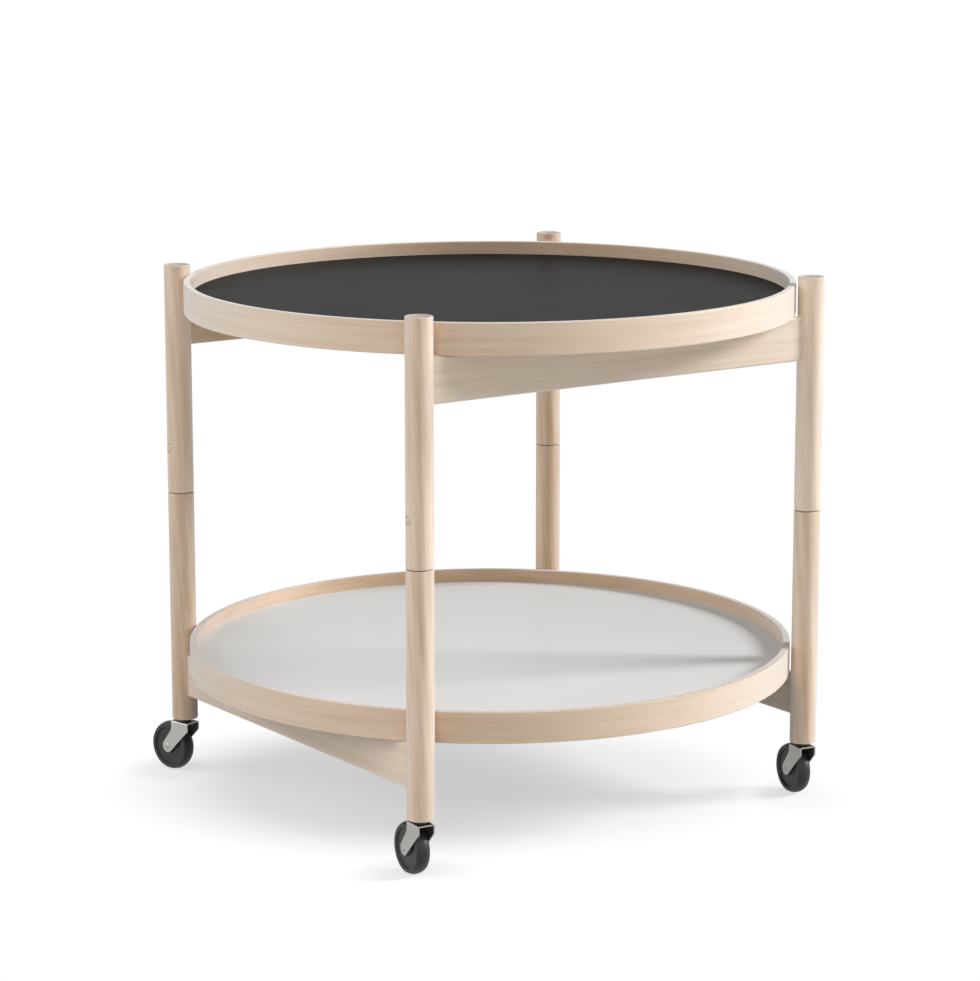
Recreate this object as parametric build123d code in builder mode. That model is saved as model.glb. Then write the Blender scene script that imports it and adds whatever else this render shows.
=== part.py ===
# Folding serving trolley with two round lift-off trays, in millimetres
# The origin is on the floor under the middle of the trays, +Z is up, and the upper rails run along X
from build123d import *
from math import cos, pi, radians, sin, sqrt
import os

# Trays
tray_radius = 300.0
rim_thickness = 7.0
rim_height = 30.0
rim_round = 1.0
groove_depth = 3.0
core_thickness = 1.6
laminate_thickness = 0.7
panel_fit = 0.05

# Legs, which stand round the trays with a small gap
leg_radius = 13.0
tray_gap = 1.8
lower_leg_length = 236.0
upper_leg_length = 230.1
leg_rise_over_rim = 7.8
leg_top_round = 1.0
leg_end_round = 1.0

# Each leg's top is turned to a shallow dish with a narrow lip round it
dish_lip = 1.6
dish_lip_round = 0.5
dish_depth = 3.2

# Rails, thin boards with rounded edges that the trays rest on
rail_thickness = 7.0
rail_height = 43.6
rail_round = 2.6
lower_rail_rise = 25.0
tenon_depth = 15.0
tenon_shoulder = 7.0
tenon_cheek = 0.5
glue_line = 0.05

# Pivot in each leg: the upper half turns on a raised seat, which leaves a thin open line round the joint
seat_radius = 9.0
seat_height = 0.8

# A stud fixed in the lower half turns in a cross nut in the upper half
stud_radius = 2.5
stud_below_joint = 45.0
stud_above_joint = 55.0
running_fit = 0.1
bore_end_gap = 1.0
nut_radius = 3.7
nut_length = 20.0
nut_rise = 45.6
nut_recess = 0.3
nut_end_gap = 0.4
nut_fit = 0.35
nut_edge_break = 0.3
nut_slot_width = 0.8
nut_slot_depth = 0.6

# Wheels
wheel_radius = 25.0
wheel_width = 13.8
crown_radius = 11.0
shoulder_round = 0.5
rim_ring_width = 3.4
web_recess = 1.5
hub_radius = 7.0
hub_width = 14.0
bush_radius = 4.0
axle_radius = 2.5
axle_head_radius = 3.2
axle_head_height = 0.6

# Forks, pressed from one sheet
sheet = 1.4
bend_radius = 0.5
hub_side_gap = 0.3
wheel_top_gap = 2.1
trail = 18.0
fork_front = 10.9
fork_rear = 12.0
fork_tip_radius = 6.5
front_slope = 45.0
rear_slope = 53.0
front_knee_round = 4.0
rear_knee_round = 8.0

# Stems and sleeves that carry the forks
washer_radius = 5.8
washer_thickness = 1.0
collar_radius = 4.6
collar_height = 2.4
neck_radius = 3.5
rivet_head_radius = 5.0
rivet_head_height = 4.2
stem_radius = 4.0
stem_length = 24.0
socket_wall = 1.5
socket_length = 25.0
socket_fit = 0.05

# Corner signs in X and Y, and the way each caster trails, in degrees from +X
corners = {
    "front_left": (-1, -1, 84.0),
    "front_right": (1, -1, 79.0),
    "back_left": (-1, 1, 105.0),
    "back_right": (1, 1, 87.0),
}

# The upper rails are one leg wider apart end to end than the lower ones, so the legs fold flat side by side
leg_circle = tray_radius + tray_gap + leg_radius
frame_length = leg_radius + sqrt(2 * leg_circle**2 - leg_radius**2)
frame_width = frame_length - 2 * leg_radius

# Heights above the floor
fork_underside = 2 * wheel_radius + wheel_top_gap
fork_top = fork_underside + sheet
washer_top = fork_top + washer_thickness
leg_bottom = washer_top + collar_height
joint_height = leg_bottom + lower_leg_length
leg_top = joint_height + upper_leg_length
lower_rail_bottom = leg_bottom + lower_rail_rise
lower_tray_bottom = lower_rail_bottom + rail_height
upper_tray_bottom = leg_top - leg_rise_over_rim - rim_height
upper_rail_bottom = upper_tray_bottom - rail_height

# Tenon at each end of a rail
tenon_height = rail_height - 2 * tenon_shoulder
tenon_thickness = rail_thickness - 2 * tenon_cheek

# Each tray's core board is held in the groove of the rim, and its laminate sheets end at the rim's inner wall
core_radius = tray_radius - rim_thickness + groove_depth - panel_fit
laminate_radius = tray_radius - rim_thickness - panel_fit

# Dish in the top of each leg
dish_radius = leg_radius - dish_lip

# Widths across a caster, from its middle plane
fork_inside = hub_width / 2 + hub_side_gap
fork_outside = fork_inside + sheet
bush_bore = axle_radius + panel_fit
hub_bore = bush_radius + running_fit

os.makedirs("parts", exist_ok=True)


def save(piece, name):
    piece.part.label = name
    export_step(piece.part, f"parts/{name}.step")


def dome_radius(base_radius, height):
    return (base_radius**2 + height**2) / (2 * height)


def leg_place(corner):
    side_x, side_y, _ = corners[corner]
    return side_x * frame_length / 2, side_y * frame_width / 2


def make_tray(name, bottom, top_face, under_face):
    middle = bottom + rim_height / 2

    with BuildPart() as rim:
        with BuildSketch(Plane.XZ) as section:
            with Locations((tray_radius - rim_thickness / 2, middle)):
                Rectangle(rim_thickness, rim_height)
            fillet(section.vertices(), rim_round)
            with Locations((tray_radius - rim_thickness, middle)):
                Rectangle(2 * groove_depth, core_thickness + 2 * panel_fit, mode=Mode.SUBTRACT)
        revolve(axis=Axis.Z)
    save(rim, f"{name}_rim")

    core_bottom = middle - core_thickness / 2
    sheets = {
        "core": (core_radius, core_bottom, core_thickness),
        top_face: (laminate_radius, core_bottom + core_thickness, laminate_thickness),
        under_face: (laminate_radius, core_bottom - laminate_thickness, laminate_thickness),
    }
    for sheet_name, (radius, height, thickness) in sheets.items():
        with BuildPart() as disc:
            with BuildSketch(Plane.XY.offset(height)):
                Circle(radius)
            extrude(amount=thickness)
        save(disc, f"{name}_{sheet_name}")


def make_rail(name, start, direction, span, bottom):
    # The rail starts on one leg's axis and runs to the other's
    section_plane = Plane(origin=start + Vector(0, 0, bottom + rail_height / 2), x_dir=(0, 0, 1), z_dir=direction)
    end_planes = [
        Plane(origin=start + direction * reach + Vector(0, 0, bottom)) for reach in (0, span)
    ]
    tenon_start = leg_radius - tenon_depth + glue_line

    with BuildPart() as rail:
        with BuildSketch(section_plane):
            RectangleRounded(rail_height, rail_thickness, rail_round)
        extrude(amount=span)
        for end_plane in end_planes:
            with BuildSketch(end_plane):
                Circle(leg_radius + glue_line)
            extrude(amount=rail_height, mode=Mode.SUBTRACT)
        for reach in (tenon_start, span - tenon_start - tenon_depth - leg_radius):
            with BuildSketch(section_plane.offset(reach)):
                Rectangle(tenon_height, tenon_thickness)
            extrude(amount=tenon_depth + leg_radius)
    save(rail, name)


def mortise_plane(leg_plane, inward, rail_bottom):
    # Stands at the blind end of the slot that takes a rail's tenon, with local X upward
    middle = Vector(0, 0, rail_bottom + rail_height / 2)
    blind_end = leg_plane.origin + middle + inward * (leg_radius - tenon_depth)
    return Plane(origin=blind_end, x_dir=(0, 0, 1), z_dir=inward)


def make_leg_pair(corner):
    side_x, side_y, _ = corners[corner]
    x, y = leg_place(corner)
    leg_plane = Plane(origin=(x, y, 0))
    outward = Vector(side_x, 0, 0)

    with BuildPart() as upper_leg:
        with BuildSketch(leg_plane.offset(joint_height)):
            Circle(leg_radius)
        extrude(amount=upper_leg_length)
        fillet(upper_leg.edges().group_by(Axis.Z)[0], leg_end_round)
        ball_radius = dome_radius(dish_radius, dish_depth)
        with Locations((x, y, leg_top + ball_radius - dish_depth)):
            Sphere(ball_radius, mode=Mode.SUBTRACT)
        fillet(upper_leg.edges().group_by(Axis.Z)[-1].sort_by(SortBy.RADIUS)[-1], leg_top_round)
        fillet(upper_leg.edges().group_by(Axis.Z)[-1].sort_by(SortBy.RADIUS)[0], dish_lip_round)
        with BuildSketch(leg_plane.offset(joint_height)):
            Circle(stud_radius + running_fit)
        extrude(amount=stud_above_joint + bore_end_gap, mode=Mode.SUBTRACT)
        nut_plane = Plane(origin=(x, y, joint_height + nut_rise), z_dir=outward)
        nut_inner_end = leg_radius - nut_recess - nut_length
        with BuildSketch(nut_plane.offset(nut_inner_end - nut_end_gap)):
            Circle(nut_radius + nut_fit)
        extrude(amount=nut_end_gap + nut_length + nut_recess, mode=Mode.SUBTRACT)
        with BuildSketch(mortise_plane(leg_plane, Vector(-side_x, 0, 0), upper_rail_bottom)):
            Rectangle(tenon_height + 2 * glue_line, tenon_thickness + 2 * glue_line)
        extrude(amount=tenon_depth, mode=Mode.SUBTRACT)
    save(upper_leg, f"upper_leg_{corner}")

    with BuildPart() as barrel_nut:
        with BuildSketch(nut_plane.offset(nut_inner_end)):
            Circle(nut_radius)
        extrude(amount=nut_length)
        chamfer(barrel_nut.edges().filter_by(GeomType.CIRCLE), nut_edge_break)
        with BuildSketch(leg_plane.offset(joint_height + nut_rise - nut_radius)):
            Circle(stud_radius + running_fit)
        extrude(amount=2 * nut_radius, mode=Mode.SUBTRACT)
        with BuildSketch(nut_plane.offset(nut_inner_end + nut_length - nut_slot_depth)):
            Rectangle(nut_slot_width, 2 * nut_radius)
        extrude(amount=nut_slot_depth, mode=Mode.SUBTRACT)
    save(barrel_nut, f"barrel_nut_{corner}")

    with BuildPart() as lower_leg:
        with BuildSketch(leg_plane.offset(leg_bottom)):
            Circle(leg_radius)
        extrude(amount=lower_leg_length - seat_height)
        fillet(lower_leg.edges(), leg_end_round)
        with BuildSketch(leg_plane.offset(joint_height - seat_height)):
            Circle(seat_radius)
        extrude(amount=seat_height)
        with BuildSketch(leg_plane.offset(joint_height - stud_below_joint - glue_line)):
            Circle(stud_radius + glue_line)
        extrude(amount=stud_below_joint + glue_line, mode=Mode.SUBTRACT)
        with BuildSketch(leg_plane.offset(leg_bottom)):
            Circle(stem_radius + socket_fit + socket_wall + glue_line)
        extrude(amount=socket_length + glue_line, mode=Mode.SUBTRACT)
        with BuildSketch(mortise_plane(leg_plane, Vector(0, -side_y, 0), lower_rail_bottom)):
            Rectangle(tenon_height + 2 * glue_line, tenon_thickness + 2 * glue_line)
        extrude(amount=tenon_depth, mode=Mode.SUBTRACT)
    save(lower_leg, f"lower_leg_{corner}")

    with BuildPart() as stud:
        with BuildSketch(leg_plane.offset(joint_height - stud_below_joint)):
            Circle(stud_radius)
        extrude(amount=stud_below_joint + stud_above_joint)
        chamfer(stud.edges().group_by(Axis.Z)[-1], stud_radius / 6)
    save(stud, f"pivot_stud_{corner}")


def make_caster(corner):
    x, y = leg_place(corner)
    turn = radians(corners[corner][2])
    back = Vector(cos(turn), sin(turn), 0)
    side = Vector(sin(turn), -cos(turn), 0)
    leg_axis = Axis((x, y, 0), (0, 0, 1))
    turned_plane = Plane(origin=(x, y, 0), x_dir=(1, 0, 0), z_dir=(0, -1, 0))
    outline_plane = Plane(origin=(x, y, 0), x_dir=back, z_dir=side)
    across_plane = Plane(origin=(x, y, 0), x_dir=side, z_dir=back * -1)
    wheel_centre = Vector(x, y, wheel_radius) + back * trail
    wheel_plane = Plane(origin=wheel_centre, x_dir=side, z_dir=back * -1)
    wheel_axis = Axis(wheel_centre, side)

    with BuildPart() as socket:
        with BuildSketch(Plane(origin=(x, y, leg_bottom))):
            Circle(stem_radius + socket_fit + socket_wall)
            Circle(stem_radius + socket_fit, mode=Mode.SUBTRACT)
        extrude(amount=socket_length)
    save(socket, f"caster_{corner}_socket")

    with BuildPart() as stem:
        with BuildSketch(turned_plane):
            with BuildLine():
                Polyline(
                    (0, leg_bottom + stem_length),
                    (stem_radius / 2, leg_bottom + stem_length),
                    (stem_radius, leg_bottom + stem_length - stem_radius),
                    (stem_radius, leg_bottom),
                    (collar_radius, leg_bottom),
                    (collar_radius, washer_top),
                    (neck_radius, washer_top),
                    (neck_radius, fork_underside),
                    (rivet_head_radius, fork_underside),
                )
                RadiusArc(
                    (rivet_head_radius, fork_underside),
                    (0, fork_underside - rivet_head_height),
                    dome_radius(rivet_head_radius, rivet_head_height),
                )
                Line((0, fork_underside - rivet_head_height), (0, leg_bottom + stem_length))
            make_face()
        revolve(axis=leg_axis)
    save(stem, f"caster_{corner}_stem")

    with BuildPart() as washer:
        with BuildSketch(Plane(origin=(x, y, fork_top))):
            Circle(washer_radius)
            Circle(neck_radius + panel_fit, mode=Mode.SUBTRACT)
        extrude(amount=washer_thickness)
    save(washer, f"caster_{corner}_washer")

    # The fork's side outline: a straight plate edge, two slopes and a round end about the axle
    front_turn = radians(front_slope)
    rear_turn = radians(rear_slope)
    front_touch = Vector(
        trail - fork_tip_radius * sin(front_turn), wheel_radius - fork_tip_radius * cos(front_turn)
    )
    rear_touch = Vector(
        trail + fork_tip_radius * sin(rear_turn), wheel_radius + fork_tip_radius * cos(rear_turn)
    )
    front_knee = Vector(
        -fork_front, front_touch.Y + (front_touch.X + fork_front) * sin(front_turn) / cos(front_turn)
    )
    rear_knee = Vector(
        fork_rear, rear_touch.Y + (rear_touch.X - fork_rear) * sin(rear_turn) / cos(rear_turn)
    )
    tip_middle = Vector(
        trail + fork_tip_radius * sin((rear_turn - front_turn + pi) / 2),
        wheel_radius - fork_tip_radius * cos((rear_turn - front_turn + pi) / 2),
    )
    tip_foot = wheel_radius - 1.5 * fork_tip_radius

    with BuildPart() as fork:
        with BuildSketch(across_plane.offset(-trail - 2 * fork_tip_radius)) as channel:
            with Locations((0, (fork_top + tip_foot) / 2)):
                Rectangle(2 * fork_outside, fork_top - tip_foot)
            fillet(channel.vertices().group_by(Axis.Y)[-1], bend_radius + sheet)
            with Locations((0, (fork_underside + tip_foot) / 2)):
                Rectangle(2 * fork_inside, fork_underside - tip_foot, mode=Mode.SUBTRACT)
            inner_corners = channel.vertices().filter_by_position(
                Axis.Y, fork_underside - bend_radius / 2, fork_underside + bend_radius / 2
            )
            fillet(inner_corners, bend_radius)
        extrude(amount=trail + 2 * fork_tip_radius + 2 * fork_front)
        with BuildSketch(outline_plane) as outline:
            with BuildLine():
                Polyline(rear_touch, rear_knee, (fork_rear, fork_top), (-fork_front, fork_top), front_knee, front_touch)
                ThreePointArc(front_touch, tip_middle, rear_touch)
            make_face()
            fillet(outline.vertices().sort_by_distance(front_knee)[0], front_knee_round)
            fillet(outline.vertices().sort_by_distance(rear_knee)[0], rear_knee_round)
        extrude(amount=fork_outside, both=True, mode=Mode.INTERSECT)
        with BuildSketch(Plane(origin=(x, y, fork_underside))):
            Circle(neck_radius + running_fit)
        extrude(amount=sheet, mode=Mode.SUBTRACT)
        with BuildSketch(outline_plane):
            with Locations((trail, wheel_radius)):
                Circle(axle_radius + panel_fit)
        extrude(amount=fork_outside, both=True, mode=Mode.SUBTRACT)
    save(fork, f"caster_{corner}_fork")

    with BuildPart() as bush:
        with BuildSketch(wheel_plane):
            with Locations((0, (bush_radius + bush_bore) / 2)):
                Rectangle(2 * fork_inside, bush_radius - bush_bore)
        revolve(axis=wheel_axis)
    save(bush, f"caster_{corner}_bush")

    with BuildPart() as axle:
        with BuildSketch(wheel_plane):
            with BuildLine():
                Polyline((0, 0), (0, axle_radius), (fork_outside, axle_radius), (fork_outside, axle_head_radius))
                RadiusArc(
                    (fork_outside, axle_head_radius),
                    (fork_outside + axle_head_height, 0),
                    dome_radius(axle_head_radius, axle_head_height),
                )
                Line((fork_outside + axle_head_height, 0), (0, 0))
            make_face()
            mirror(about=Plane.YZ)
        revolve(axis=wheel_axis)
    save(axle, f"caster_{corner}_axle")

    # The wheel: crowned tread, a raised ring at each side, a sunk web and a hub
    half_width = wheel_width / 2
    shoulder_radius = wheel_radius - (crown_radius - sqrt(crown_radius**2 - half_width**2))
    ring_inside = shoulder_radius - rim_ring_width
    web_face = half_width - web_recess
    with BuildPart() as wheel:
        with BuildSketch(wheel_plane) as profile:
            with BuildLine():
                Polyline(
                    (0, hub_bore),
                    (hub_width / 2, hub_bore),
                    (hub_width / 2, hub_radius),
                    (web_face, hub_radius + web_recess / 2),
                    (web_face, ring_inside - web_recess / 2),
                    (half_width, ring_inside),
                    (half_width, shoulder_radius),
                )
                RadiusArc((half_width, shoulder_radius), (0, wheel_radius), -crown_radius)
                Line((0, wheel_radius), (0, hub_bore))
            make_face()
            shoulder = profile.vertices().sort_by_distance((half_width, shoulder_radius))[0]
            fillet(shoulder, shoulder_round)
            mirror(about=Plane.YZ)
        revolve(axis=wheel_axis)
    save(wheel, f"caster_{corner}_wheel")


make_tray("upper_tray", upper_tray_bottom, "black_laminate", "white_laminate")
make_tray("lower_tray", lower_tray_bottom, "white_laminate", "black_laminate")

for side_y, name in ((-1, "front"), (1, "back")):
    start = Vector(-frame_length / 2, side_y * frame_width / 2, 0)
    make_rail(f"upper_rail_{name}", start, Vector(1, 0, 0), frame_length, upper_rail_bottom)
for side_x, name in ((-1, "left"), (1, "right")):
    start = Vector(side_x * frame_length / 2, -frame_width / 2, 0)
    make_rail(f"lower_rail_{name}", start, Vector(0, 1, 0), frame_width, lower_rail_bottom)

for corner in corners:
    make_leg_pair(corner)
    make_caster(corner)
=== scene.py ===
"""Studio view of a folding serving trolley of soaped beech, with laminate trays and steel casters.

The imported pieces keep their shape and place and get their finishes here. Sizes of patterns are millimetres.
"""
from math import atan2, cos, pi, radians, sin

import bmesh
import bpy
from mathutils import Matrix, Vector


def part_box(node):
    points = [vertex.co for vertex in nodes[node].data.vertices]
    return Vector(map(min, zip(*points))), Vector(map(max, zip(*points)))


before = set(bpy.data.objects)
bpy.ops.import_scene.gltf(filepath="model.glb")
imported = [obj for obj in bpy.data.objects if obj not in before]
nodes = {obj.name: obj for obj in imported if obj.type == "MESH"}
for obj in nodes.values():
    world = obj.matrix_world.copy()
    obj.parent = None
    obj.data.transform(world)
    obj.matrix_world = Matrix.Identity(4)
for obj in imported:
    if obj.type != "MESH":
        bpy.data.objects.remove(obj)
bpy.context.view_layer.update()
corners = ("front_left", "front_right", "back_left", "back_right")

MM_PER_METRE = 1000.0
COLOUR_MIX = {"data_type": "RGBA"}

# Camera, at the photograph's viewing angle: place in metres, turn and drop in radians, lens in millimetres
CAMERA_PLACE = (-1.85021, -2.63349, 0.94980)
CAMERA_TURN = 0.6125
CAMERA_DROP = 0.1985
CAMERA_LENS = 121.1
SENSOR_WIDTH = 36.0
VIEW_END = 100.0

# Studio light: an even room, and lamps as (turn, height and spread in degrees, strength)
ROOM_LIGHT = 0.04
LAMPS = {
    "key": (95.5, 27.0, 22.0, 1.10),
    "fill": (-80.0, 18.0, 60.0, 0.50),
    "front": (0.0, 60.0, 60.0, 0.19),
    "low_front": (0.0, 14.0, 60.0, 0.19),
}

# White paper floor, in metres. The trolley's shadow fades outwards on an oval, and some stays by each wheel
FLOOR_SIZE = 30.0
FLOOR_ALBEDO = 0.66
FLOOR_WHITE = 1.015
SHADOW_DEPTH = 0.51
SHADOW_MIDDLE = (-0.0344, 0.0241, 0.0)
SHADOW_TURN = radians(-35.1)
SHADOW_REACH = (0.36, 0.27, 1.0)
SHADOW_FADE = (0.55, 1.05)
CONTACT_DEPTH = 0.40
CONTACT_FADE = (0.02, 0.085)

# Soap leaves beech matt, and its raised fibres catch light that grazes it
WOOD_GLOSS = {"IOR": 1.5, "Sheen Weight": 0.9, "Sheen Roughness": 0.70}
PALE_WOOD = "#EBD7BC"
BROWN_WOOD = "#C0996D"
PINK_WOOD = "#E2C1AB"
FLECK_WOOD = "#B08F6E"
# Colours of faces cut across the grain, darker than end grain is, as painted shade in the dished leg tops and
# on the rims' top edges
LEG_END_WOOD_AND_SHADE = "#664C34"
RIM_EDGE_WOOD_AND_SHADE = "#856C54"

# Every piece is cut this many millimetres further on in one log, so no two show the same grain
LOG_STEP = Vector((37.0, 53.0, 410.0))

# The tone of each piece, from pale at 0 to brown at 1, partly the board's own and partly painted light and
# shade: the pieces at the back are browner as painted shade, and the upper front rail, which the tray shades,
# is paler as painted light. The legs' tones follow the order of the corners
LEG_TONES_AND_SHADE = {"upper": (0.48, 0.10, 0.50, 0.85), "lower": (0.55, 0.50, 0.75, 0.95)}
UPPER_RAIL_TONES_AND_SHADE = {"front": 0.05, "back": 0.95}
LOWER_RAIL_TONES_AND_SHADE = {"left": 0.38, "right": 0.30}

# The tone of each bent rim, and how much browner it is towards and across from its joint and on its inner
# face. This browning is painted shade: the joint lies behind the front left leg, nearest the camera, so the
# rim's front, back and inner face are painted darker, and the sides that the lamps light stay paler as
# painted highlight
RIM_TONES_AND_SHADE = {"upper": (0.12, 0.40, 0.30), "lower": (0.40, 0.20, 0.50)}


def linear(hex_colour):
    """An sRGB hex colour as linear red, green, blue and alpha."""
    channels = [int(hex_colour[i : i + 2], 16) / 255 for i in (1, 3, 5)]
    return [c / 12.92 if c <= 0.04045 else ((c + 0.055) / 1.055) ** 2.4 for c in channels] + [1.0]


def every(step):
    """Scale of a pattern that repeats at these steps in millimetres."""
    return [1 / length for length in step]


def leg_place(corner):
    """Where a leg stands on the floor, in metres."""
    lowest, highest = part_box(f"lower_leg_{corner}")
    return Vector((lowest.x + highest.x, lowest.y + highest.y, 0.0)) / 2


def add(tree, kind, settings=None, feeds=None):
    """Adds a node, sets it up and feeds its inputs: a socket or a node is linked, a value is set."""
    node = tree.nodes.new("ShaderNode" + kind)
    for name, value in (settings or {}).items():
        setattr(node, name, value)
    for key, value in (feeds or {}).items():
        usable = [s for s in node.inputs if s.enabled]
        socket = usable[key] if isinstance(key, int) else next(s for s in usable if s.name == key)
        if isinstance(value, bpy.types.Node):
            value = next(s for s in value.outputs if s.enabled)
        if isinstance(value, bpy.types.NodeSocket):
            tree.links.new(value, socket)
        else:
            socket.default_value = value
    return node


def new_material(name, settings, grain="z", shift=(0, 0, 0)):
    """A material with one Principled shader, as (material, node tree, shader, place in millimetres)."""
    material = bpy.data.materials.new(name)
    material.use_nodes = True
    tree = material.node_tree
    shader = tree.nodes["Principled BSDF"]
    for socket, value in settings.items():
        shader.inputs[socket].default_value = value
    return material, tree, shader, place_on_piece(tree, grain, shift)


def connect(tree, shader, **sockets):
    """Links nodes to the shader's sockets, by their names in small letters."""
    for name, node in sockets.items():
        socket = shader.inputs[name.replace("_", " ").title()]
        tree.links.new(next(s for s in node.outputs if s.enabled), socket)


def paint(material, *names):
    """Gives the material to these pieces of the frame."""
    for name in names:
        for slot in nodes[name].material_slots:
            slot.material = material


def place_on_piece(tree, grain, shift):
    """Object coordinates in millimetres, turned so that the third one runs along the grain."""
    where = add(tree, "TexCoord").outputs["Object"]
    if grain == "round":
        return round_place(tree, where, shift)
    # The grain of an upright piece slants 2.6 degrees each way
    slant = 0.045
    turn = {"x": (0, -pi / 2, 0), "y": (pi / 2, 0, 0), "z": (slant, slant, 0)}[grain]
    along_grain = {"Vector": where, "Location": shift, "Rotation": turn, "Scale": [MM_PER_METRE] * 3}
    return add(tree, "Mapping", feeds=along_grain)


def round_place(tree, where, shift):
    """Across, up and along a bent rim, in millimetres. The rim's joint lies behind the front left leg."""
    outer_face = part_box("upper_tray_rim")[1].x
    inner_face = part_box("upper_tray_white_laminate")[1].x
    wall_radius = (outer_face + inner_face) / 2 * MM_PER_METRE
    joint = leg_place("front_left")
    turn = (0, 0, pi - atan2(joint.y, joint.x))
    turned = add(tree, "Mapping", feeds={"Vector": where, "Rotation": turn, "Scale": [MM_PER_METRE] * 3})
    x, y, z = add(tree, "SeparateXYZ", feeds={0: turned}).outputs
    angle = add(tree, "Math", {"operation": "ARCTAN2"}, {0: y, 1: x})
    along = add(tree, "Math", {"operation": "MULTIPLY"}, {0: angle, 1: wall_radius})
    level = add(tree, "CombineXYZ", feeds={"X": x, "Y": y})
    across = add(tree, "VectorMath", {"operation": "LENGTH"}, {0: level}).outputs["Value"]
    place = add(tree, "CombineXYZ", feeds={"X": across, "Y": z, "Z": along})
    return add(tree, "VectorMath", {"operation": "ADD"}, {0: place, 1: shift})


def growth_rings(tree, place):
    """Faint rings 3.4 mm apart round a pith that lies well outside the piece, swaying along the grain."""
    pith = (60.0, 38.0, 0.0)
    ring_width = 3.4
    sway_step = (38, 38, 240)
    sway_depth = 20.0
    swaying = add(tree, "Mapping", feeds={"Vector": place, "Scale": every(sway_step)})
    sway = add(tree, "TexNoise", feeds={"Vector": swaying, "Scale": 1.0, "Detail": 2.0})
    from_pith = add(tree, "VectorMath", {"operation": "SUBTRACT"}, {0: place, 1: pith})
    across = add(tree, "VectorMath", {"operation": "MULTIPLY"}, {0: from_pith, 1: (1, 1, 0)})
    radius = add(tree, "VectorMath", {"operation": "LENGTH"}, {0: across}).outputs["Value"]
    swayed = add(tree, "Math", {"operation": "MULTIPLY_ADD"}, {0: sway, 1: sway_depth, 2: radius})
    turns = add(tree, "Math", {"operation": "MULTIPLY"}, {0: swayed, 1: 2 * pi / ring_width})
    return add(tree, "Math", {"operation": "SINE"}, {0: turns})


def rim_tone_and_shade(tree, tone, shade_by_joint, shade_on_inner_face):
    """A bent rim's tone, browner towards its joint, across from its joint and on its inner face as painted
    shade, which leaves the sides towards the lamps paler as painted highlight.
    """
    surface = add(tree, "TexCoord").outputs
    level = add(tree, "VectorMath", {"operation": "MULTIPLY"}, {0: surface["Object"], 1: (1, 1, 0)})
    outwards = add(tree, "VectorMath", {"operation": "NORMALIZE"}, {0: level})
    facing = add(tree, "VectorMath", {"operation": "DOT_PRODUCT"}, {0: surface["Normal"], 1: outwards})
    inner = {"Value": facing.outputs["Value"], "From Min": -0.7, "From Max": -0.3}
    inner |= {"To Min": tone + shade_on_inner_face, "To Max": tone}
    tone = add(tree, "MapRange", feeds=inner)
    joint = leg_place("front_left").normalized()
    towards = add(tree, "VectorMath", {"operation": "DOT_PRODUCT"}, {0: outwards, 1: joint}).outputs["Value"]
    squared = add(tree, "Math", {"operation": "MULTIPLY"}, {0: towards, 1: towards})
    return add(tree, "Math", {"operation": "MULTIPLY_ADD"}, {0: squared, 1: shade_by_joint, 2: tone})


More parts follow.
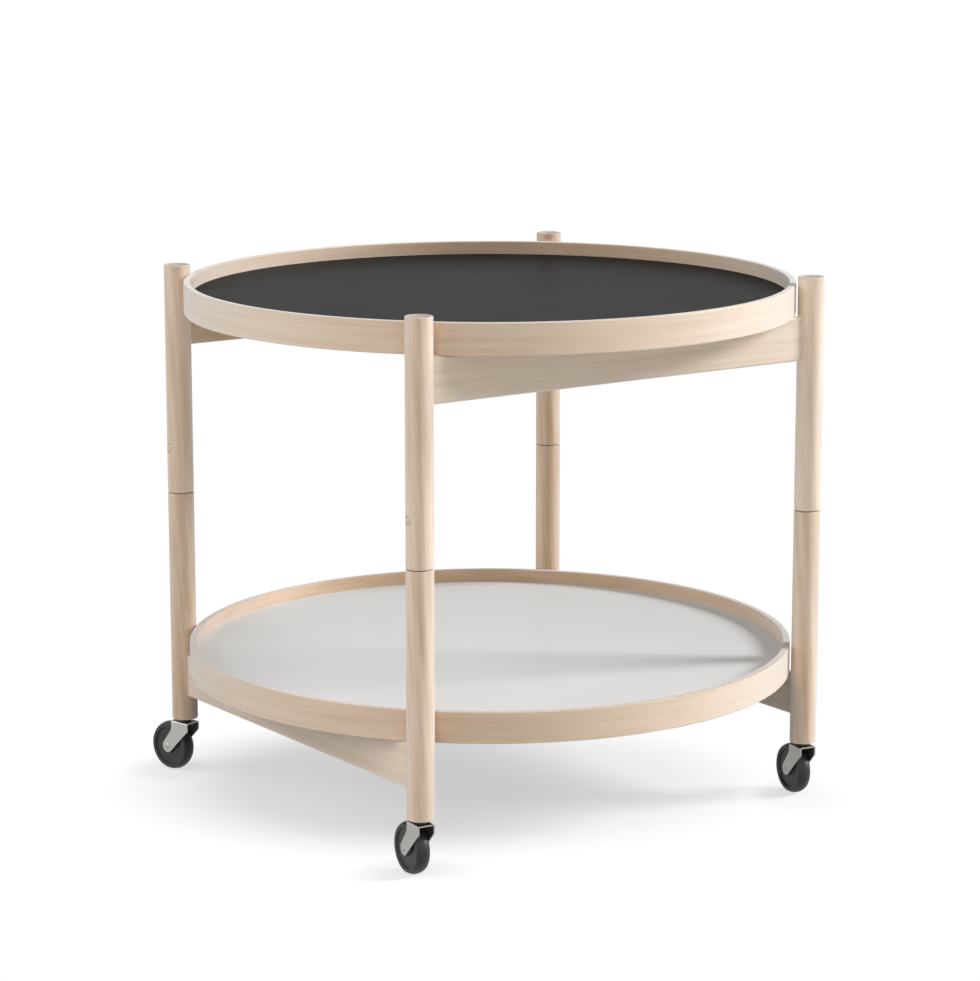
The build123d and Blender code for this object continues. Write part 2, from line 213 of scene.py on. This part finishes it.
def beech(name, grain, cut, tone, streak_depth, cut_and_shade_colour=None, rim_shade=None):
    """Soaped European beech: pale, matt and a little pink, with long soft streaks and faint growth rings.

    cut is the piece's number in the log. Faces that look up or down get the cut colour, if it is given: end
    grain's own darker colour, made darker still as painted shade.
    The last argument says how much browner a bent rim is towards and across from its joint and on its inner
    face, as painted shade.
    """
    material, tree, shader, place = new_material(name, WOOD_GLOSS, grain, LOG_STEP * cut)

    # Streaks 6 mm wide that run on for 160 mm, and fibres 0.6 mm wide
    streaked = add(tree, "Mapping", feeds={"Vector": place, "Scale": every((6, 6, 160))})
    soft = {"Vector": streaked, "Scale": 1.0, "Detail": 3.0, "Roughness": 0.45}
    streaks = add(tree, "TexNoise", feeds=soft)
    fibrous = add(tree, "Mapping", feeds={"Vector": place, "Scale": every((0.6, 0.6, 22))})
    fibres = add(tree, "TexNoise", feeds={"Vector": fibrous, "Scale": 1.0, "Detail": 2.0})

    # Streaks, rings and fibres add up to the share of brown, which is the piece's own tone on average
    ring_depth = 0.03
    fibre_depth = 0.30
    share = tone - (streak_depth + fibre_depth) / 2
    if rim_shade:
        share = rim_tone_and_shade(tree, share, *rim_shade)
    share = add(tree, "Math", {"operation": "MULTIPLY_ADD"}, {0: streaks, 1: streak_depth, 2: share})
    rings = growth_rings(tree, place)
    share = add(tree, "Math", {"operation": "MULTIPLY_ADD"}, {0: rings, 1: ring_depth, 2: share})
    last_sum = {"operation": "MULTIPLY_ADD", "use_clamp": True}
    share = add(tree, "Math", last_sum, {0: fibres, 1: fibre_depth, 2: share})
    ends = {"A": linear(PALE_WOOD), "B": linear(BROWN_WOOD)}
    colour = add(tree, "Mix", COLOUR_MIX, {"Factor": share, **ends})

    # Broad pink patches, as steamed beech has
    pink_depth = 0.30
    patchy = add(tree, "Mapping", feeds={"Vector": place, "Scale": every((14, 14, 70))})
    patches = add(tree, "TexNoise", feeds={"Vector": patchy, "Scale": 1.0, "Detail": 1.0})
    rising = {"Value": patches, "From Min": 0.42, "From Max": 0.66, "To Max": pink_depth}
    blush = add(tree, "MapRange", feeds=rising)
    colour = add(tree, "Mix", COLOUR_MIX, {"Factor": blush, "A": colour, "B": linear(PINK_WOOD)})

    # Ray flecks, drawn 1.4 mm wide and 7 mm long, about twice their real size, so that they show
    fleck_depth = 0.14
    flecked = add(tree, "Mapping", feeds={"Vector": place, "Scale": every((3, 3, 14))})
    cells = add(tree, "TexVoronoi", feeds={"Vector": flecked, "Scale": 1.0}).outputs["Distance"]
    near = {"Value": cells, "From Min": 0.08, "From Max": 0.24, "To Min": fleck_depth, "To Max": 0.0}
    fleck = add(tree, "MapRange", feeds=near)
    colour = add(tree, "Mix", COLOUR_MIX, {"Factor": fleck, "A": colour, "B": linear(FLECK_WOOD)})

    # Open pores make a face that is cut squarely darker and duller. The cut colour is darker than end grain
    # is, as painted shade in the dished leg tops and on the rims' top edges
    dull = add(tree, "MapRange", feeds={"Value": streaks, "To Min": 0.40, "To Max": 0.54})
    if cut_and_shade_colour:
        cut_roughness = 0.95
        facing = add(tree, "SeparateXYZ", feeds={0: add(tree, "TexCoord").outputs["Normal"]}).outputs["Z"]
        upright = add(tree, "Math", {"operation": "ABSOLUTE"}, {0: facing})
        pores_and_shade = add(tree, "MapRange", feeds={"Value": upright, "From Min": 0.80, "From Max": 0.94})
        darker = {"Factor": pores_and_shade, "A": colour, "B": linear(cut_and_shade_colour)}
        colour = add(tree, "Mix", COLOUR_MIX, darker)
        rough = add(tree, "Math", {"operation": "MULTIPLY"}, {0: pores_and_shade, 1: cut_roughness})
        dull = add(tree, "Math", {"operation": "MAXIMUM"}, {0: dull, 1: rough})

    raised = add(tree, "Bump", feeds={"Strength": 0.2, "Distance": 0.0001, "Height": fibres})
    connect(tree, shader, base_color=colour, roughness=dull, normal=raised)
    return material


def laminate(name, plain, worn, roughness, ior):
    """High pressure laminate, pressed against a satin plate: a fine pearl texture and faint wiping marks.

    The IOR is below the real 1.5, so that the sheet reflects as little of the white room as it should.
    """
    material, tree, shader, place = new_material(name, {"IOR": ior})
    wiped = add(tree, "Mapping", feeds={"Vector": place, "Scale": every((90, 34, 90))})
    marks = add(tree, "TexNoise", feeds={"Vector": wiped, "Scale": 1.0, "Detail": 4.0})
    colour = add(tree, "Mix", COLOUR_MIX, {"Factor": marks, "A": linear(plain), "B": linear(worn)})
    swing = 0.03
    uneven = {"Value": marks, "To Min": roughness - swing, "To Max": roughness + swing}
    dull = add(tree, "MapRange", feeds=uneven)
    pressed = add(tree, "Mapping", feeds={"Vector": place, "Scale": every((0.8, 0.8, 0.8))})
    pearl = add(tree, "TexNoise", feeds={"Vector": pressed, "Scale": 1.0, "Detail": 1.0})
    raised = add(tree, "Bump", feeds={"Strength": 0.12, "Distance": 0.00004, "Height": pearl})
    connect(tree, shader, base_color=colour, roughness=dull, normal=raised)
    return material


def steel(name, plain, worn, roughness, shaded_top_colour=None):
    """Plated or turned steel: a soft grey metal with cloudy plating and fine drawn marks.

    The last argument is the colour of faces that look straight up, below a leg: painted shade of the leg
    above them.
    """
    material, tree, shader, place = new_material(name, {"Metallic": 1.0})
    clouded = add(tree, "Mapping", feeds={"Vector": place, "Scale": every((5, 5, 5))})
    clouds = add(tree, "TexNoise", feeds={"Vector": clouded, "Scale": 1.0, "Detail": 3.0})
    colour = add(tree, "Mix", COLOUR_MIX, {"Factor": clouds, "A": linear(plain), "B": linear(worn)})
    if shaded_top_colour:
        # Faces that look straight up get painted shade
        facing = add(tree, "SeparateXYZ", feeds={0: add(tree, "TexCoord").outputs["Normal"]}).outputs["Z"]
        upward = add(tree, "MapRange", feeds={"Value": facing, "From Min": 0.80, "From Max": 0.95})
        colour = add(tree, "Mix", COLOUR_MIX, {"Factor": upward, "A": colour, "B": linear(shaded_top_colour)})
    swing = 0.06
    uneven = {"Value": clouds, "To Min": roughness - swing, "To Max": roughness + swing}
    dull = add(tree, "MapRange", feeds=uneven)
    drawn = add(tree, "Mapping", feeds={"Vector": place, "Scale": every((0.3, 0.3, 2.5))})
    marks = add(tree, "TexNoise", feeds={"Vector": drawn, "Scale": 1.0, "Detail": 2.0})
    raised = add(tree, "Bump", feeds={"Strength": 0.15, "Distance": 0.00002, "Height": marks})
    connect(tree, shader, base_color=colour, roughness=dull, normal=raised)
    return material


def nylon(name, plain, worn):
    """Moulded nylon: satin, very slightly mottled, with dust-grey scuffs worn into it."""
    material, tree, shader, place = new_material(name, {"IOR": 1.4})
    rubbed = add(tree, "Mapping", feeds={"Vector": place, "Scale": every((6, 6, 6))})
    scuffs = add(tree, "TexNoise", feeds={"Vector": rubbed, "Scale": 1.0, "Detail": 5.0, "Roughness": 0.6})
    colour = add(tree, "Mix", COLOUR_MIX, {"Factor": scuffs, "A": linear(plain), "B": linear(worn)})
    dull = add(tree, "MapRange", feeds={"Value": scuffs, "To Min": 0.38, "To Max": 0.55})
    moulded = add(tree, "Mapping", feeds={"Vector": place, "Scale": every((0.5, 0.5, 0.5))})
    skin = add(tree, "TexNoise", feeds={"Vector": moulded, "Scale": 1.0, "Detail": 1.0})
    raised = add(tree, "Bump", feeds={"Strength": 0.2, "Distance": 0.00003, "Height": skin})
    connect(tree, shader, base_color=colour, roughness=dull, normal=raised)
    return material


def plywood(name, pale, brown):
    """Thin birch plywood, with the long brown figure of rotary-cut veneer."""
    material, tree, shader, place = new_material(name, {"Roughness": 0.7})
    figured = add(tree, "Mapping", feeds={"Vector": place, "Scale": every((40, 1.5, 0.5))})
    veneer = add(tree, "TexNoise", feeds={"Vector": figured, "Scale": 1.0, "Detail": 3.0})
    colour = add(tree, "Mix", COLOUR_MIX, {"Factor": veneer, "A": linear(pale), "B": linear(brown)})
    connect(tree, shader, base_color=colour)
    return material


def finish_legs():
    """Each half leg has its own tone, partly the board's and partly painted light and shade, and its squarely
    cut ends are darker, partly as painted shade.
    """
    for half, first_cut in (("upper", 1), ("lower", 6)):
        for i, (corner, tone) in enumerate(zip(corners, LEG_TONES_AND_SHADE[half])):
            leg = f"{half}_leg_{corner}"
            paint(beech(f"beech_{leg}", "z", first_cut + i, tone, 1.5, LEG_END_WOOD_AND_SHADE), leg)


def finish_rails():
    """The upper rails run along X and the lower ones along Y."""
    rails = [(f"upper_rail_{side}", "x", tone) for side, tone in UPPER_RAIL_TONES_AND_SHADE.items()]
    rails += [(f"lower_rail_{side}", "y", tone) for side, tone in LOWER_RAIL_TONES_AND_SHADE.items()]
    # Each rail's tone is partly its board's own and partly painted light and shade
    for cut, (rail, grain, tone) in enumerate(rails, start=11):
        paint(beech(f"beech_{rail}", grain, cut, tone, 1.2), rail)


def finish_trays():
    """Both trays have a bent rim, a plywood core and laminate on either face, black and white."""
    black = laminate("satin_black_laminate", "#131313", "#171717", 0.36, 1.046)
    white = laminate("satin_white_laminate", "#E0E0DF", "#DBDBDA", 0.50, 1.15)
    core = plywood("birch_plywood_core", "#D8BF97", "#B08A5E")
    for cut, (level, (tone, *rim_shade)) in enumerate(RIM_TONES_AND_SHADE.items(), start=17):
        rim = f"{level}_tray_rim"
        paint(beech(f"beech_{rim}", "round", cut, tone, 0.75, RIM_EDGE_WOOD_AND_SHADE, rim_shade), rim)
        paint(black, f"{level}_tray_black_laminate")
        paint(white, f"{level}_tray_white_laminate")
        paint(core, f"{level}_tray_core")


def finish_pivots_and_casters():
    """Yellow passivated pivots, and casters of zinc-plated steel with painted shade on the fork's top, dark
    steel stems and washers as painted shade of the gap below each leg, and black nylon wheels.
    """
    zinc = steel("zinc_plated_steel", "#B4B2AE", "#A8A6A2", 0.42)
    zinc_with_painted_shade = steel("zinc_plated_steel_with_painted_shade", "#AAA8A4", "#9E9C98", 0.42, "#4A453F")
    # The stems and washers are dark as painted shade of the narrow gap below each leg
    bearing_darkened_as_shade = steel("bearing_steel_darkened_as_shade", "#5E5952", "#4A453F", 0.50)
    rivet = steel("plain_steel_rivet", "#A3A19C", "#93918C", 0.46)
    yellow_zinc = steel("yellow_passivated_steel", "#C6B8A8", "#BAAC9A", 0.42)
    wheel_nylon = nylon("moulded_black_nylon", "#20201F", "#2D2C2B")
    for corner in corners:
        paint(zinc, f"caster_{corner}_socket", f"caster_{corner}_bush")
        paint(zinc_with_painted_shade, f"caster_{corner}_fork")
        paint(bearing_darkened_as_shade, f"caster_{corner}_stem", f"caster_{corner}_washer")
        paint(rivet, f"caster_{corner}_axle")
        paint(yellow_zinc, f"pivot_stud_{corner}", f"barrel_nut_{corner}")
        paint(wheel_nylon, f"caster_{corner}_wheel")


def add_camera():
    """Looks level ahead at the camera's turn, then down by its drop."""
    camera = bpy.data.objects.new("camera", bpy.data.cameras.new("camera"))
    camera.data.sensor_width = SENSOR_WIDTH
    camera.data.lens = CAMERA_LENS
    camera.data.clip_end = VIEW_END
    camera.location = CAMERA_PLACE
    camera.rotation_euler = (pi / 2 - CAMERA_DROP, 0.0, -CAMERA_TURN)
    bpy.context.scene.collection.objects.link(camera)
    bpy.context.scene.camera = camera


def add_lamp(name, turn, height, spread, strength):
    """A soft lamp far away. turn is measured at the trolley, from the camera round to its right."""
    lamp = bpy.data.objects.new(name, bpy.data.lights.new(name, "SUN"))
    lamp.data.energy = strength * pi
    lamp.data.angle = radians(spread)
    heading = CAMERA_TURN - radians(turn)
    towards = Vector((-sin(heading), -cos(heading), 0.0)) * cos(radians(height))
    towards.z = sin(radians(height))
    lamp.rotation_euler = towards.to_track_quat("Z", "Y").to_euler()
    bpy.context.scene.collection.objects.link(lamp)


def seen_directly(tree):
    """1 for rays from the camera, off gloss or through glass, and 0 for the light that falls on things."""
    path = add(tree, "LightPath").outputs
    rays = {0: path["Is Camera Ray"], 1: path["Is Glossy Ray"]}
    shown = add(tree, "Math", {"operation": "MAXIMUM"}, rays)
    return add(tree, "Math", {"operation": "MAXIMUM"}, {0: shown, 1: path["Is Transmission Ray"]})


def add_world():
    """Plain white all round where it is seen, and a weaker even light on the trolley."""
    world = bpy.data.worlds.new("studio")
    bpy.context.scene.world = world
    world.use_nodes = True
    tree = world.node_tree
    tree.nodes.clear()
    light = add(tree, "Background", feeds={"Color": linear("#FFFFFF"), "Strength": ROOM_LIGHT})
    white = add(tree, "Background", feeds={"Color": linear("#FFFFFF"), "Strength": 1.0})
    shown = add(tree, "MixShader", feeds={0: seen_directly(tree), 1: light, 2: white})
    add(tree, "OutputWorld", feeds={"Surface": shown})


def shaded_share(tree):
    """How much of the floor's own shading shows: most below the trolley, some by each wheel, none far out."""
    where = add(tree, "TexCoord").outputs["Object"]
    placed = {"Location": SHADOW_MIDDLE, "Rotation": (0, 0, SHADOW_TURN), "Scale": SHADOW_REACH}
    oval = add(tree, "Mapping", {"vector_type": "TEXTURE"}, {"Vector": where, **placed})
    outwards = add(tree, "VectorMath", {"operation": "LENGTH"}, {0: oval}).outputs["Value"]
    start, end = SHADOW_FADE
    fading = {"Value": outwards, "From Min": start, "From Max": end, "To Min": SHADOW_DEPTH, "To Max": 0.0}
    broad = add(tree, "MapRange", {"interpolation_type": "SMOOTHSTEP"}, fading)

    # Once X and Y lose their signs, all four wheels stand at one place
    unsigned = add(tree, "VectorMath", {"operation": "ABSOLUTE"}, {0: where})
    to_wheel = {0: unsigned, 1: leg_place("back_right")}
    from_wheel = add(tree, "VectorMath", {"operation": "DISTANCE"}, to_wheel).outputs["Value"]
    start, end = CONTACT_FADE
    fading = {"Value": from_wheel, "From Min": start, "From Max": end, "To Min": CONTACT_DEPTH, "To Max": 0.0}
    close = add(tree, "MapRange", {"interpolation_type": "SMOOTHSTEP"}, fading)
    return add(tree, "Math", {"operation": "MAXIMUM"}, {0: broad, 1: close})


def add_floor():
    """A white paper floor. Where it is seen, plain white makes up for the shading that doesn't show."""
    mesh = bpy.data.meshes.new("floor")
    shape = bmesh.new()
    bmesh.ops.create_grid(shape, x_segments=1, y_segments=1, size=FLOOR_SIZE)
    shape.to_mesh(mesh)
    shape.free()
    floor = bpy.data.objects.new("floor", mesh)
    bpy.context.scene.collection.objects.link(floor)
    material = bpy.data.materials.new("white_paper_floor")
    material.use_nodes = True
    tree = material.node_tree
    tree.nodes.clear()
    bounced = add(tree, "BsdfDiffuse", feeds={"Color": [FLOOR_ALBEDO] * 3 + [1.0]})
    share = shaded_share(tree)
    light = ROOM_LIGHT + sum(strength * sin(radians(height)) for _, height, _, strength in LAMPS.values())
    rest = add(tree, "Math", {"operation": "MULTIPLY_ADD"}, {0: share, 1: -light, 2: FLOOR_WHITE})
    shaded = add(tree, "BsdfDiffuse", feeds={"Color": share})
    plain = add(tree, "Emission", feeds={"Color": linear("#FFFFFF"), "Strength": rest})
    pale = add(tree, "AddShader", feeds={0: shaded, 1: plain})
    shown = add(tree, "MixShader", feeds={0: seen_directly(tree), 1: bounced, 2: pale})
    add(tree, "OutputMaterial", feeds={"Surface": shown})
    mesh.materials.append(material)


finish_legs()
finish_rails()
finish_trays()
finish_pivots_and_casters()
add_camera()
for name, lamp in LAMPS.items():
    add_lamp(name, *lamp)
add_world()
add_floor()
bpy.context.scene.view_settings.view_transform = "Standard"
